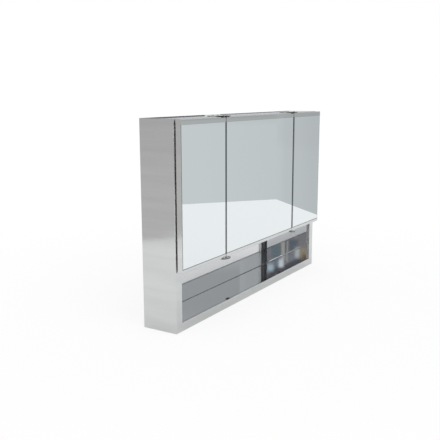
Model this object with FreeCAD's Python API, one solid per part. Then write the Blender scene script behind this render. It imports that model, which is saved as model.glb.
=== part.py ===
import FreeCAD, Part
import os
from FreeCAD import Vector

# Wall cabinet of folded stainless sheet with three mirror doors over an open polished niche.
# Millimetres. X runs along the width, the doors face -Y and Z is up.
# The origin is under the middle of the whole cabinet's box, level with its underside.

# Carcass of folded sheet
body_width = 1000.0
body_height = 650.0
body_depth = 125.0
sheet = 1.2
bend_radius = 1.1
stile_width = 31.0
stile_return = 14.0
rail_height = 28.0
hem_height = 12.0
niche_height = 163.0
top_flange_height = 25.0
top_flange_return = 10.0
floor_flange_height = 20.0
floor_back_flange = 15.0
back_flange_width = 18.0
partition_flange = 24.0
partition_foot = 9.0

# Polished lining of the niche
liner = 1.0
niche_step = 1.0
liner_clearance = 0.3

# Holes and doubler plates that take the wall screws
wall_hole_radius = 3.5
wall_hole_side_margin = 60.0
wall_hole_floor_margin = 42.8
wall_hole_top_margin = 40.0
wall_plate_size = 40.0
wall_plate_thickness = 2.0

# Shelves of glass on folded rests
shelf_thickness = 5.0
shelf_side_clearance = 1.5
shelf_front_setback = 18.0
shelf_back_setback = 5.0
shelf_height_shares = (1 / 3, 2 / 3)
shelf_edge_radius = 0.8
rest_width = 10.0
rest_height = 10.0
pad_radius = 3.5
pad_thickness = 1.0
pad_end_margin = 12.0

# Doors
side_door_width = 246.0
door_gap = 3.0
door_inset = 5.0
door_clearance = 3.0
door_thickness = 20.0
door_sheet = 1.0
door_bend_radius = 0.9
end_gap = 1.0
top_lip_height = 16.0
bottom_lip_height = 11.0
cap_back_leg = 12.0
cap_clearance = 0.2
mirror_thickness = 4.0
mirror_edge_clearance = 0.3
mirror_bevel = 0.5
block_length = 22.0
block_height = 5.0

# Pivots: a shoulder screw at each end of a door turns in a bush in a hinge plate
pivot_inset = 8.0
pivot_setback = 4.6
pivot_radius = 2.0
pivot_clearance = 0.05
pivot_head_radius = 4.0
pivot_head_height = 1.8
pivot_head_clearance = 0.2
pivot_recess_radius = 1.2
pivot_recess_depth = 1.0
bush_wall = 1.2
bush_flange_radius = 5.5
bush_flange_thickness = 0.7

# Hinge plates with a round nose in front of the doors
plate_thickness = 3.0
plate_edge_radius = 0.7
nose_reach = 12.0
nose_shoulder = 4.0
plate_hold = 32.0
double_plate_width = 50.0
single_plate_width = 27.0
single_plate_shift = 2.0
screw_setback = 18.0
double_screw_spacing = 30.0
single_screw_spacing = 16.0
screw_radius = 2.0
screw_clearance = 0.05
screw_head_radius = 3.5
screw_head_height = 2.0
screw_head_rounding = 0.9
screw_past_sheet = 2.0
slot_width = 0.8
slot_depth = 0.9

# Magnetic catches, strikes and rubber buffers
catch_width = 12.0
catch_height = 40.0
catch_depth = 17.0
catch_gap = 0.3
catch_level_share = 0.5
magnet_width = 7.0
magnet_height = 28.0
magnet_depth = 6.0
catch_screw_radius = 1.5
catch_screw_spacing = 26.0
catch_screw_setback = 11.0
catch_screw_head_radius = 2.8
catch_screw_head_height = 1.2
catch_screw_past = 1.0
strike_width = 9.0
strike_height = 34.0
strike_thickness = 1.0
buffer_radius = 4.0
buffer_gap = 0.3
buffer_rounding = 0.8
buffer_inset = 20.0

# How far a cut runs past the metal
overrun = 5.0

# Planes and lines that the pieces share
half_width = body_width / 2
inner_x = half_width - sheet
stile_x = half_width - stile_width
front_reach = door_clearance + door_thickness
wall_y = (body_depth + front_reach + nose_reach) / 2
front_y = wall_y - body_depth
back_y = wall_y - sheet
door_back_y = front_y - door_clearance
door_front_y = front_y - front_reach
ceiling_z = rail_height + niche_height
floor_z = ceiling_z + sheet
roof_z = body_height - sheet
niche_floor_z = rail_height - niche_step
door_bottom_z = ceiling_z + end_gap
door_top_z = body_height - end_gap
gap_x = half_width - door_inset - side_door_width - door_gap / 2
shelf_front_y = front_y + shelf_front_setback
shelf_back_y = wall_y - shelf_back_setback
pivot_y = door_front_y + pivot_setback
bush_radius = pivot_radius + pivot_clearance + bush_wall
catch_front_y = door_back_y + strike_thickness + catch_gap
catch_z = door_bottom_z + (door_top_z - door_bottom_z) * catch_level_share

# Each door's edges, and the edge that it turns on: -1 is its left edge and 1 its right
doors = {
    "left": (-half_width + door_inset, -gap_x - door_gap / 2, 1),
    "centre": (-gap_x + door_gap / 2, gap_x - door_gap / 2, -1),
    "right": (gap_x + door_gap / 2, half_width - door_inset, -1),
}


def block(x0, x1, y0, y1, z0, z1):
    """A box between two corners, given in any order along each axis."""
    low = Vector(min(x0, x1), min(y0, y1), min(z0, z1))
    return Part.makeBox(abs(x1 - x0), abs(y1 - y0), abs(z1 - z0), low)


def post(x, y, z0, z1, radius):
    """An upright round bar."""
    return Part.makeCylinder(radius, abs(z1 - z0), Vector(x, y, min(z0, z1)))


def bar_y(x, z, y0, y1, radius):
    """A round bar that runs from front to back."""
    return Part.makeCylinder(radius, abs(y1 - y0), Vector(x, min(y0, y1), z), Vector(0, 1, 0))


def bar_x(y, z, x0, x1, radius):
    """A round bar that runs along the width."""
    return Part.makeCylinder(radius, abs(x1 - x0), Vector(min(x0, x1), y, z), Vector(1, 0, 0))


def joined(pieces):
    """One solid from pieces that share faces."""
    whole = pieces[0]
    for piece in pieces[1:]:
        whole = whole.fuse(piece)
    return whole.removeSplitter()


def cut_away(whole, cutters):
    for cutter in cutters:
        whole = whole.cut(cutter)
    return whole


def rounded(shape, radius, chosen):
    """Round the straight or round edges that the test picks by their box."""
    edges = [edge for edge in shape.Edges if chosen(edge.BoundBox)]
    return shape.makeFillet(radius, edges)


def at(value, target):
    return abs(value - target) < sheet / 100


def mirrored(shape):
    """The same piece on the other side of the middle."""
    return shape.mirror(Vector(0, 0, 0), Vector(1, 0, 0))


def plate_xz(points, y0, y1):
    """A flat plate with a many-sided outline seen from the front."""
    corners = [Vector(x, y0, z) for x, z in points]
    face = Part.Face(Part.makePolygon(corners + corners[:1]))
    return face.extrude(Vector(0, y1 - y0, 0))


def mitre_z(x):
    """Height of the corner seam between stile and rail at a distance x from the middle."""
    return (half_width - x) * rail_height / stile_width


def side_panel():
    """Left side: outer sheet, front stile with its return, and a narrow flange at the back."""
    left = -half_width
    skin = block(left, -inner_x, front_y, wall_y, 0, body_height)
    stile = block(left, -stile_x, front_y, front_y + sheet, 0, body_height)
    inner_fold = block(-stile_x, -stile_x - sheet, front_y, front_y + stile_return, rail_height, roof_z)
    back_fold = block(-inner_x, -inner_x + back_flange_width, back_y - sheet, back_y, floor_z, roof_z)
    panel = joined([skin, stile, inner_fold, back_fold])
    panel = rounded(panel, bend_radius, lambda b: at(b.XLength, 0) and at(b.YLength, 0)
                    and at(b.YMin, front_y) and (at(b.XMin, left) or at(b.XMin, -stile_x)))
    seam_end = -stile_x + overrun
    below_seam = plate_xz([(-inner_x, -overrun), (-inner_x, mitre_z(inner_x)),
                           (seam_end, mitre_z(-seam_end)), (seam_end, -overrun)],
                          front_y - overrun, front_y + stile_return + overrun)
    return panel.cut(below_seam)


def bottom_panel():
    """Underside sheet with the front rail, mitred into the stiles, and a hem behind the rail."""
    skin = block(-inner_x, inner_x, front_y + sheet, wall_y, 0, sheet)
    rail = plate_xz([(-inner_x, 0), (inner_x, 0), (inner_x, mitre_z(inner_x)),
                     (stile_x, rail_height), (-stile_x, rail_height),
                     (-inner_x, mitre_z(inner_x))], front_y, front_y + sheet)
    hem = block(-stile_x, stile_x, front_y + sheet, front_y + sheet * 2,
                rail_height - hem_height, rail_height)
    panel = joined([skin, rail, hem])
    return rounded(panel, bend_radius, lambda b: at(b.YLength, 0) and at(b.ZLength, 0)
                   and at(b.ZMin, 0) and at(b.YMin, front_y))


def top_panel():
    """Roof sheet with a front flange between the stiles and a return along its lower edge."""
    skin = block(-inner_x, inner_x, front_y + sheet, wall_y, roof_z, body_height)
    low_z = body_height - top_flange_height
    flange = block(-stile_x, stile_x, front_y, front_y + sheet, low_z, body_height)
    fold = block(-stile_x, stile_x, front_y + sheet, front_y + top_flange_return, low_z, low_z + sheet)
    panel = joined([skin, flange, fold])
    panel = rounded(panel, bend_radius, lambda b: at(b.YLength, 0) and at(b.ZLength, 0)
                    and at(b.YMin, front_y) and b.XLength > stile_x)
    return cut_away(panel, plate_screw_holes(roof_z, body_height))


def compartment_floor():
    """Floor of the closed compartment, which is also the ceiling of the niche."""
    skin = block(-inner_x, inner_x, front_y, back_y, ceiling_z, floor_z)
    flange = block(-stile_x, stile_x, front_y, front_y + sheet, floor_z, ceiling_z + floor_flange_height)
    back_end = inner_x - back_flange_width - liner_clearance
    back_fold = block(-back_end, back_end, back_y - sheet, back_y, floor_z, floor_z + floor_back_flange)
    panel = joined([skin, flange, back_fold])
    notches = [block(side * stile_x, side * (inner_x + overrun), front_y - overrun,
                     front_y + stile_return + liner_clearance, ceiling_z - overrun, floor_z + overrun)
               for side in (-1, 1)]
    panel = rounded(cut_away(panel, notches), bend_radius, lambda b: at(b.YLength, 0)
                    and at(b.ZLength, 0) and at(b.YMin, front_y) and at(b.ZMin, ceiling_z))
    return cut_away(panel, plate_screw_holes(ceiling_z, floor_z))


def wall_hole_places():
    for side in (-1, 1):
        for z in (floor_z + wall_hole_floor_margin, body_height - wall_hole_top_margin):
            yield side * (half_width - wall_hole_side_margin), z


def back_panel():
    """Flat back sheet with four holes for the wall screws."""
    skin = block(-inner_x, inner_x, back_y, wall_y, sheet, roof_z)
    holes = [bar_y(x, z, back_y - overrun, wall_y + overrun, wall_hole_radius)
             for x, z in wall_hole_places()]
    return cut_away(skin, holes)


def wall_plates():
    """Doubler plates that spread the load of the wall screws."""
    reach = wall_plate_size / 2
    plates = []
    for x, z in wall_hole_places():
        plate = block(x - reach, x + reach, back_y - wall_plate_thickness, back_y, z - reach, z + reach)
        hole = bar_y(x, z, back_y - wall_plate_thickness - overrun, back_y + overrun, wall_hole_radius)
        plates.append(plate.cut(hole))
    return plates


def niche_floor():
    """Polished tray turned upside down: it stands on its four folded edges behind the rail."""
    front = front_y + sheet * 2 + liner_clearance
    outside = block(-inner_x, inner_x, front, back_y, sheet, niche_floor_z)
    inside = block(-inner_x + liner, inner_x - liner, front + liner, back_y - liner,
                   sheet - overrun, niche_floor_z - liner)
    return outside.cut(inside)


def niche_back():
    return block(-inner_x, inner_x, back_y - liner, back_y, niche_floor_z, ceiling_z)


def niche_cheek():
    """Left polished cheek, behind the stile."""
    return block(-inner_x, -inner_x + liner, front_y + sheet, back_y - liner, niche_floor_z, ceiling_z)


def partition():
    """Left upright between two bays, with a front flange and narrow feet turned outwards."""
    x0 = -gap_x - sheet / 2
    x1 = -gap_x + sheet / 2
    skin = block(x0, x1, front_y + sheet, back_y - sheet, floor_z, roof_z)
    flange_low = ceiling_z + floor_flange_height
    flange_high = body_height - top_flange_height
    flange = block(x1 - partition_flange, x1, front_y, front_y + sheet, flange_low, flange_high)
    foot_front = front_y + plate_hold + liner_clearance
    foot = block(x0 - partition_foot, x0, foot_front, back_y - sheet, floor_z, floor_z + sheet)
    head = block(x0 - partition_foot, x0, foot_front, back_y - sheet, roof_z - sheet, roof_z)
    back_fold = block(x0 - partition_foot, x1, back_y - sheet, back_y,
                      floor_z + floor_back_flange + liner_clearance, roof_z)
    upright = joined([skin, flange, foot, head, back_fold])
    past_return = block(x0 - overrun, x1 + overrun, front_y, front_y + top_flange_return + liner_clearance,
                        flange_high - liner_clearance, roof_z + overrun)
    past_flange = block(x0 - overrun, x1 + overrun, front_y - overrun, front_y + sheet + liner_clearance,
                        floor_z - overrun, flange_low)
    return cut_away(upright, [past_return, past_flange])


def bays():
    """Left and right inner faces of the three bays."""
    yield "left", -inner_x, -gap_x - sheet / 2
    yield "centre", -gap_x + sheet / 2, gap_x - sheet / 2
    yield "right", gap_x + sheet / 2, inner_x


def shelf_levels():
    """Undersides of the lower and upper shelf."""
    for share in shelf_height_shares:
        yield floor_z + (roof_z - floor_z) * share


def shelf(x0, x1, z):
    """Float glass shelf with softened edges."""
    pane = block(x0 + shelf_side_clearance, x1 - shelf_side_clearance, shelf_front_y, shelf_back_y,
                 z, z + shelf_thickness)
    return pane.makeFillet(shelf_edge_radius, pane.Edges)


def shelf_rests():
    """Folded angles on both sides of each bay, two for each shelf."""
    rests = []
    for name, x0, x1 in bays():
        for z in shelf_levels():
            top = z - pad_thickness
            for wall, side in ((x0, 1), (x1, -1)):
                leg = block(wall, wall + side * sheet, shelf_front_y, shelf_back_y, top - rest_height, top)
                seat = block(wall, wall + side * rest_width, shelf_front_y, shelf_back_y, top - sheet, top)
                rests.append(joined([leg, seat]))
    return rests


def shelf_pads():
    """Round clear pads between the rests and the glass."""
    pads = []
    for name, x0, x1 in bays():
        for z in shelf_levels():
            for x in (x0 + rest_width - pad_radius, x1 - rest_width + pad_radius):
                for y in (shelf_front_y + pad_end_margin, shelf_back_y - pad_end_margin):
                    pads.append(post(x, y, z - pad_thickness, z, pad_radius))
    return pads


def pivot_x(door):
    x0, x1, edge = doors[door]
    return (x1 if edge > 0 else x0) - edge * pivot_inset


def hinge_plates():
    """Middle, width and pivots of the double plate at the left gap and the single one at the right."""
    yield -gap_x, double_plate_width, double_screw_spacing, ("left", "centre")
    yield gap_x + single_plate_shift, single_plate_width, single_screw_spacing, ("right",)


def plate_screw_places():
    for middle, width, spacing, names in hinge_plates():
        for side in (-1, 1):
            yield middle + side * spacing / 2, front_y + screw_setback


def plate_screw_holes(z0, z1):
    """Cutters for the plate screws through sheet or plate between two heights."""
    return [post(x, y, z0 - overrun, z1 + overrun, screw_radius + screw_clearance)
            for x, y in plate_screw_places()]


def hinge_plate(middle, width, names, z0):
    """Flat tongue whose round nose stands out in front of the doors."""
    z1 = z0 + plate_thickness
    half = width / 2
    inner = front_y + plate_hold
    tip = door_front_y - nose_reach
    shoulder = tip + min(nose_reach + nose_shoulder, half)
    corners = [Vector(middle - half, inner, z0), Vector(middle - half, shoulder, z0),
               Vector(middle, tip, z0), Vector(middle + half, shoulder, z0),
               Vector(middle + half, inner, z0)]
    outline = [Part.LineSegment(corners[0], corners[1]).toShape(),
               Part.Arc(corners[1], corners[2], corners[3]).toShape(),
               Part.LineSegment(corners[3], corners[4]).toShape(),
               Part.LineSegment(corners[4], corners[0]).toShape()]
    plate = Part.Face(Part.Wire(outline)).extrude(Vector(0, 0, plate_thickness))
    plate = rounded(plate, plate_edge_radius, lambda b: at(b.ZLength, 0) and b.YMin < inner - sheet)
    holes = [post(pivot_x(name), pivot_y, z0 - overrun, z1 + overrun, bush_radius) for name in names]
    holes += plate_screw_holes(z0, z1)
    return cut_away(plate, holes)


def bush(door, plate_z, towards_door):
    """Nylon bush in a plate's hole, with a flange between the plate and the door's end."""
    x = pivot_x(door)
    plate_far = plate_z + plate_thickness
    near, far = (plate_z, plate_far) if towards_door < 0 else (plate_far, plate_z)
    sleeve = post(x, pivot_y, near, far, bush_radius)
    flange = post(x, pivot_y, near, near + towards_door * bush_flange_thickness, bush_flange_radius)
    bore = post(x, pivot_y, plate_z - overrun, plate_far + overrun, pivot_radius + pivot_clearance)
    return joined([sleeve, flange]).cut(bore)


def hinge_bushes():
    bushes = []
    for door in doors:
        bushes.append(bush(door, body_height, -1))
        bushes.append(bush(door, ceiling_z - plate_thickness, 1))
    return bushes


def plate_screw(x, y, under_head, outward, tip):
    """Pan-head screw along Z with a straight slot. outward is 1 where its head is on top."""
    crown = under_head + outward * screw_head_height
    head = post(x, y, under_head, crown, screw_head_radius)
    head = rounded(head, screw_head_rounding, lambda b: at(b.ZLength, 0) and at(b.ZMin, crown))
    slot = block(x - screw_head_radius, x + screw_head_radius, y - slot_width / 2,
                 y + slot_width / 2, crown, crown - outward * slot_depth)
    shank = post(x, y, under_head, tip, screw_radius)
    return joined([head.cut(slot), shank])


def hinge_plate_screws():
    """Two screws for each hinge plate, driven from above and from below."""
    screws = []
    for x, y in plate_screw_places():
        screws.append(plate_screw(x, y, body_height + plate_thickness, 1, roof_z - screw_past_sheet))
        screws.append(plate_screw(x, y, ceiling_z - plate_thickness, -1, floor_z + screw_past_sheet))
    return screws


def door_pan(x0, x1):
    """Tray of the door: back sheet, two side walls and a bottom wall with the lower front lip."""
    lip_back_y = door_front_y + door_sheet
    wall_top = door_top_z - door_sheet - cap_clearance
    back_top = door_top_z - cap_back_leg - cap_clearance
    back = block(x0, x1, door_back_y - door_sheet, door_back_y, door_bottom_z, back_top)
    left = block(x0, x0 + door_sheet, lip_back_y, door_back_y - door_sheet, door_bottom_z, wall_top)
    right = block(x1 - door_sheet, x1, lip_back_y, door_back_y - door_sheet, door_bottom_z, wall_top)
    foot = block(x0, x1, lip_back_y, door_back_y, door_bottom_z, door_bottom_z + door_sheet)
    lip = block(x0, x1, door_front_y, lip_back_y, door_bottom_z, door_bottom_z + bottom_lip_height)
    pan = joined([back, left, right, foot, lip])
    pan = rounded(pan, door_bend_radius, lambda b: at(b.YLength, 0) and at(b.ZLength, 0)
                  and at(b.ZMin, door_bottom_z) and b.XLength > bottom_lip_height)
    return rounded(pan, door_bend_radius, lambda b: at(b.XLength, 0) and at(b.YLength, 0)
                   and at(b.YMin, door_back_y) and (at(b.XMin, x0) or at(b.XMin, x1)))


def cap_rail(x0, x1):
    """Folded channel over the top of the door, whose front lip holds the mirror."""
    web = block(x0, x1, door_front_y, door_back_y, door_top_z - door_sheet, door_top_z)
    lip = block(x0, x1, door_front_y, door_front_y + door_sheet,
                door_top_z - top_lip_height, door_top_z)
    leg = block(x0, x1, door_back_y - door_sheet, door_back_y, door_top_z - cap_back_leg, door_top_z)
    return rounded(joined([web, lip, leg]), door_bend_radius, lambda b: at(b.YLength, 0)
                   and at(b.ZMin, door_top_z) and at(b.ZLength, 0))


def pivot_hole(door):
    """Clear way for the two shoulder screws through the metal at a door's ends."""
    return post(pivot_x(door), pivot_y, door_bottom_z - overrun, door_top_z + overrun,
                pivot_radius + pivot_clearance)


def door_fillings(x0, x1):
    """Mirror glass and the board behind it, between the end blocks."""
    low_z = door_bottom_z + door_sheet + block_height
    high_z = door_top_z - door_sheet - block_height
    left = x0 + door_sheet + mirror_edge_clearance
    right = x1 - door_sheet - mirror_edge_clearance
    glass_front = door_front_y + door_sheet
    glass_back = glass_front + mirror_thickness
    glass = block(left, right, glass_front, glass_back, low_z, high_z)
    front_edges = [edge for edge in glass.Edges if at(edge.BoundBox.YMax, glass_front)]
    glass = glass.makeChamfer(mirror_bevel, front_edges)
    board = block(left, right, glass_back, door_back_y - door_sheet, low_z, high_z)
    return glass, board


def end_blocks(door):
    """Four corner blocks of a door. The two beside its pivots are bored for the shoulder screws."""
    x0, x1, edge = doors[door]
    front = door_front_y + door_sheet
    back = door_back_y - door_sheet
    blocks = []
    for wall, inward in ((x0 + door_sheet, 1), (x1 - door_sheet, -1)):
        for z in (door_bottom_z + door_sheet, door_top_z - door_sheet - block_height):
            blocks.append(block(wall, wall + inward * block_length, front, back, z, z + block_height))
    return [solid.cut(pivot_hole(door)) for solid in blocks]


def pivot_screws(door):
    """Shoulder screws, put in from above and below through the bushes into the end blocks."""
    x = pivot_x(door)
    screws = []
    for outward, plate_face, door_end in ((1, body_height + plate_thickness, door_top_z),
                                          (-1, ceiling_z - plate_thickness, door_bottom_z)):
        seat = plate_face + outward * pivot_head_clearance
        crown = seat + outward * pivot_head_height
        head = post(x, pivot_y, seat, crown, pivot_head_radius)
        head = rounded(head, screw_head_rounding, lambda b: at(b.ZLength, 0) and at(b.ZMin, crown))
        recess = post(x, pivot_y, crown, crown - outward * pivot_recess_depth, pivot_recess_radius)
        inner_end = door_end - outward * (door_sheet + block_height)
        shank = post(x, pivot_y, seat, inner_end, pivot_radius)
        screws.append(joined([head.cut(recess), shank]))
    return screws


def catch_places():
    """Each door's catch: the upright that it is fixed to, and the way it faces from there."""
    yield "left", -stile_x, 1
    yield "centre", gap_x - sheet / 2, -1
    yield "right", stile_x, -1


def catch_screw_axes():
    for door, wall, inward in catch_places():
        for side in (-1, 1):
            yield wall, inward, catch_z + side * catch_screw_spacing / 2


def catch_screw_hole(wall, inward, z):
    return bar_x(front_y + catch_screw_setback, z, wall - inward * overrun,
                 wall + inward * (catch_width + overrun), catch_screw_radius + screw_clearance)


def catch_housings():
    """Moulded cases of the magnetic catches, open at the front for the magnet."""
    cases = []
    front = catch_front_y
    for door, wall, inward in catch_places():
        case = block(wall, wall + inward * catch_width, front, front + catch_depth,
                     catch_z - catch_height / 2, catch_z + catch_height / 2)
        middle = wall + inward * catch_width / 2
        pocket = block(middle - magnet_width / 2, middle + magnet_width / 2, front - overrun,
                       front + magnet_depth, catch_z - magnet_height / 2, catch_z + magnet_height / 2)
        case = case.cut(pocket)
        for side in (-1, 1):
            case = case.cut(catch_screw_hole(wall, inward, catch_z + side * catch_screw_spacing / 2))
        cases.append(case)
    return cases


def catch_magnets():
    magnets = []
    front = catch_front_y
    for door, wall, inward in catch_places():
        middle = wall + inward * catch_width / 2
        magnets.append(block(middle - magnet_width / 2, middle + magnet_width / 2, front,
                             front + magnet_depth, catch_z - magnet_height / 2,
                             catch_z + magnet_height / 2))
    return magnets


def catch_screws():
    screws = []
    for wall, inward, z in catch_screw_axes():
        y = front_y + catch_screw_setback
        face = wall + inward * catch_width
        head = bar_x(y, z, face, face + inward * catch_screw_head_height, catch_screw_head_radius)
        shank = bar_x(y, z, wall - inward * (sheet + catch_screw_past), face, catch_screw_radius)
        screws.append(joined([head, shank]))
    return screws


def strike(door):
    """Steel strike on the back of a door, facing its magnet."""
    for name, wall, inward in catch_places():
        if name == door:
            middle = wall + inward * catch_width / 2
            return block(middle - strike_width / 2, middle + strike_width / 2, door_back_y,
                         door_back_y + strike_thickness, catch_z - strike_height / 2,
                         catch_z + strike_height / 2)


def door_buffers():
    """Rubber buffers on the flanges behind the free edge of each door."""
    buffers = []
    face = door_back_y + buffer_gap
    low_z = ceiling_z + floor_flange_height / 2
    high_z = body_height - top_flange_height / 2
    for name, wall, inward in catch_places():
        x = wall + inward * buffer_inset
        for z in (low_z, high_z):
            stud = bar_y(x, z, face, front_y, buffer_radius)
            buffers.append(rounded(stud, buffer_rounding, lambda b: at(b.YLength, 0)
                                   and at(b.YMin, face)))
    return buffers


def with_catch_holes(upright, mirrored_side):
    """Drill an upright for the screws of the catch that it carries."""
    for wall, inward, z in catch_screw_axes():
        if (wall > 0) == mirrored_side:
            upright = upright.cut(catch_screw_hole(wall, inward, z))
    return upright


def cabinet():
    """Every piece of the cabinet by its node name."""
    nodes = {
        "left_side_panel": with_catch_holes(side_panel(), False),
        "right_side_panel": with_catch_holes(mirrored(side_panel()), True),
        "top_panel": top_panel(),
        "bottom_panel": bottom_panel(),
        "back_panel": back_panel(),
        "compartment_floor": compartment_floor(),
        "niche_floor": niche_floor(),
        "niche_back": niche_back(),
        "niche_left_cheek": niche_cheek(),
        "niche_right_cheek": mirrored(niche_cheek()),
        "left_partition": partition(),
        "right_partition": with_catch_holes(mirrored(partition()), True),
        "wall_plates": wall_plates(),
        "shelf_rests": shelf_rests(),
        "shelf_pads": shelf_pads(),
        "hinge_bushes": hinge_bushes(),
        "hinge_plate_screws": hinge_plate_screws(),
        "catch_housings": catch_housings(),
        "catch_magnets": catch_magnets(),
        "catch_screws": catch_screws(),
        "door_buffers": door_buffers(),
    }
    for name, x0, x1 in bays():
        for level, z in zip(("lower", "upper"), shelf_levels()):
            nodes[f"{name}_{level}_shelf"] = shelf(x0, x1, z)
    for (middle, width, spacing, names), kind in zip(hinge_plates(), ("double", "single")):
        nodes[f"top_{kind}_hinge_plate"] = hinge_plate(middle, width, names, body_height)
        nodes[f"bottom_{kind}_hinge_plate"] = hinge_plate(middle, width, names,
                                                          ceiling_z - plate_thickness)
    for door, (x0, x1, edge) in doors.items():
        glass, board = door_fillings(x0, x1)
        nodes[f"{door}_door_pan"] = door_pan(x0, x1).cut(pivot_hole(door))
        nodes[f"{door}_door_cap_rail"] = cap_rail(x0, x1).cut(pivot_hole(door))
        nodes[f"{door}_door_mirror"] = glass
        nodes[f"{door}_door_board"] = board
        nodes[f"{door}_door_end_blocks"] = end_blocks(door)
        nodes[f"{door}_door_pivot_screws"] = pivot_screws(door)
        nodes[f"{door}_door_strike"] = strike(door)
    return nodes


def write_parts(nodes):
    os.makedirs("parts", exist_ok=True)
    for name, shape in nodes.items():
        if isinstance(shape, list):
            shape = Part.makeCompound(shape)
        solids = shape.Solids
        print(name, len(solids), "solids", "valid" if shape.isValid() else "NOT VALID",
              round(shape.Volume, 1))
        shape.exportStep(f"parts/{name}.step")


write_parts(cabinet())
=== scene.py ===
import math

import bmesh
import bpy
from bpy.props import FloatProperty, FloatVectorProperty, PointerProperty
from mathutils import Matrix, Vector


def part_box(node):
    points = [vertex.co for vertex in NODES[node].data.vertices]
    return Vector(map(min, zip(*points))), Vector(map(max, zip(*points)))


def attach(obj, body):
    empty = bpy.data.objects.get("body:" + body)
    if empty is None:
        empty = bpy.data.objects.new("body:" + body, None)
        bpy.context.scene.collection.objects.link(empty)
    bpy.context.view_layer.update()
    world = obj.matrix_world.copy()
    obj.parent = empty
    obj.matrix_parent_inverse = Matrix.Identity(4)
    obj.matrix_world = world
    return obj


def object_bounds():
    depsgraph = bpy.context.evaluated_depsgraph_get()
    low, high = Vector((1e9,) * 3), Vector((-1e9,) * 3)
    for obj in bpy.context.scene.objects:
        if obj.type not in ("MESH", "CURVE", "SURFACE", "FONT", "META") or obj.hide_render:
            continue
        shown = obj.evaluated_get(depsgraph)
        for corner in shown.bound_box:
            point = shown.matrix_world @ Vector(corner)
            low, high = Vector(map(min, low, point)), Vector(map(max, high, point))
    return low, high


bl_info = {
    "name": "Mirror Cabinet Finishes",
    "version": (1, 0, 0),
    "blender": (4, 5, 0),
    "location": "3D View > Sidebar > Cabinet",
    "description": "Gives each piece of a steel mirror cabinet its finish and sets up a plain studio",
    "category": "Object",
}

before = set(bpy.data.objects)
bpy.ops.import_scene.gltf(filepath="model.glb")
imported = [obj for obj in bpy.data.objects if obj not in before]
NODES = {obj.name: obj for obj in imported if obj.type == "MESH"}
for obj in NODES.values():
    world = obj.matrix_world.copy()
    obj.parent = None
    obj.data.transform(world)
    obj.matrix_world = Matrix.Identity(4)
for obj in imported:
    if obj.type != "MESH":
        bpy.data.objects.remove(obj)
CAD_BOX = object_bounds()

MM = 0.001
DOORS = ("left", "centre", "right")
GAPS = ("double", "single")
FOLD_STEPS = 8

# Heights of the two lips that hold the glass of a door
TOP_LIP = 16 * MM
BOTTOM_LIP = 11 * MM
# How far the painted shade along the rail reaches over the niche floor, and where it starts to fade
RAIL_SHADE = 9 * MM
RAIL_SHADE_FADE = 6 * MM
# Where the painted highlight at the right end of the fold begins and where it is fully bright, from the
# right end
HIGHLIGHT_FROM = 240 * MM
HIGHLIGHT_FULLY = 90 * MM
# How far in front of the carcass the painted shade on the edges and underside of a hinge plate is fully dark
PLATE_NOSE = 10 * MM
# Widths of the painted dark lines in a mirror along its lower and its upper lip
LOW_LINE = 2.0 * MM
HIGH_LINE = 0.6 * MM

# Kinds of node that most materials use
AXES = "ShaderNodeSeparateXYZ"
BUMP = "ShaderNodeBump"
MAP = "ShaderNodeMapRange"
MATHS = "ShaderNodeMath"
MIX = "ShaderNodeMix"
NOISE = "ShaderNodeTexNoise"
PLACE = "ShaderNodeTexCoord"
PRINCIPLED = "ShaderNodeBsdfPrincipled"
VECTOR_MATHS = "ShaderNodeVectorMath"


def linear(code):
    """Linear red, green and blue of an sRGB hex colour."""
    shares = [int(code[i:i + 2], 16) / 255 for i in (0, 2, 4)]
    return tuple(c / 12.92 if c <= 0.04045 else ((c + 0.055) / 1.055) ** 2.4 for c in shares)


def colour(name, code, note):
    """A setting that holds a colour."""
    return FloatVectorProperty(name=name, description=note, subtype="COLOR", size=3,
                               min=0, max=1, default=linear(code))


def share(name, value, note):
    """A setting that runs from 0 to 1."""
    return FloatProperty(name=name, description=note, subtype="FACTOR", min=0, max=1, default=value)


def length(name, millimetres, note):
    """A setting that holds a length."""
    return FloatProperty(name=name, description=note, subtype="DISTANCE", unit="LENGTH",
                         min=0, precision=4, default=millimetres * MM)


class SteelFinish(bpy.types.PropertyGroup):
    """Colours and grain of the steel."""
    sheet: colour("Sheet", "D3D4D4", "Colour of the brushed stainless sheet")
    # Painted shade: this dark colour on cut edges stands in for the shade beside the glass, and on the hinge
    # plates in front of the carcass
    cut: colour("Cut edges", "6A6A6B", "Colour of the edges that were cut and not finished")
    polished: colour("Polished sheet", "DDDEE0", "Colour of the mirror-polished lining")
    plate: colour("Hinge plates", "E2E3E4", "Colour of the satin faces of the hinge plates")
    mill: colour("Mill finish", "E8E8E6", "Tone of the faces that were never ground")
    # Painted shade: the fold's dark colour stands in for the shade in the crease
    fold: colour("Fold", "A8A9AC", "Colour of the hollow fold that the polishing wheel doesn't reach")
    zinc: colour("Zinc", "C6CACF", "Colour of the zinc plating on screws and small steel parts")
    # Real brush lines lie a tenth of a millimetre apart and would not show, so these are drawn coarser
    grain: length("Grain spacing", 1.2, "Distance between two brush lines that show")
    streak: length("Grain length", 90.0, "Length of a brush line")
    brushed_roughness: share("Brushed roughness", 0.07, "How far the brushed sheet blurs what it mirrors")
    polished_roughness: share("Polished roughness", 0.02, "How far the polished sheet blurs what it mirrors")
    fold_radius: length("Lining fold", 2.5, "Radius where the lining's back turns into its floor")


class GlassFinish(bpy.types.PropertyGroup):
    """Colours of the mirrors and shelves."""
    silver: colour("Silver", "EEF2F4", "Colour that the silvered glass gives to what it mirrors")
    edge: colour("Glass edge", "5E746D", "Colour of the ground edges of the glass")
    paint: colour("Backing paint", "7C8587", "Colour of the paint over the silver at the back")
    shelf: colour("Shelf glass", "E6F3EF", "Tint of the clear float glass")
    # Widths of the painted dark borders in the mirrors beside the gaps, a painted reflection of the glass
    # edge
    left_border: length("Border at the left gap", 3.3, "Width of the dark border beside the left gap")
    right_border: length("Border at the right gap", 7.0, "Width of the dark border beside the right gap")


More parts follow.
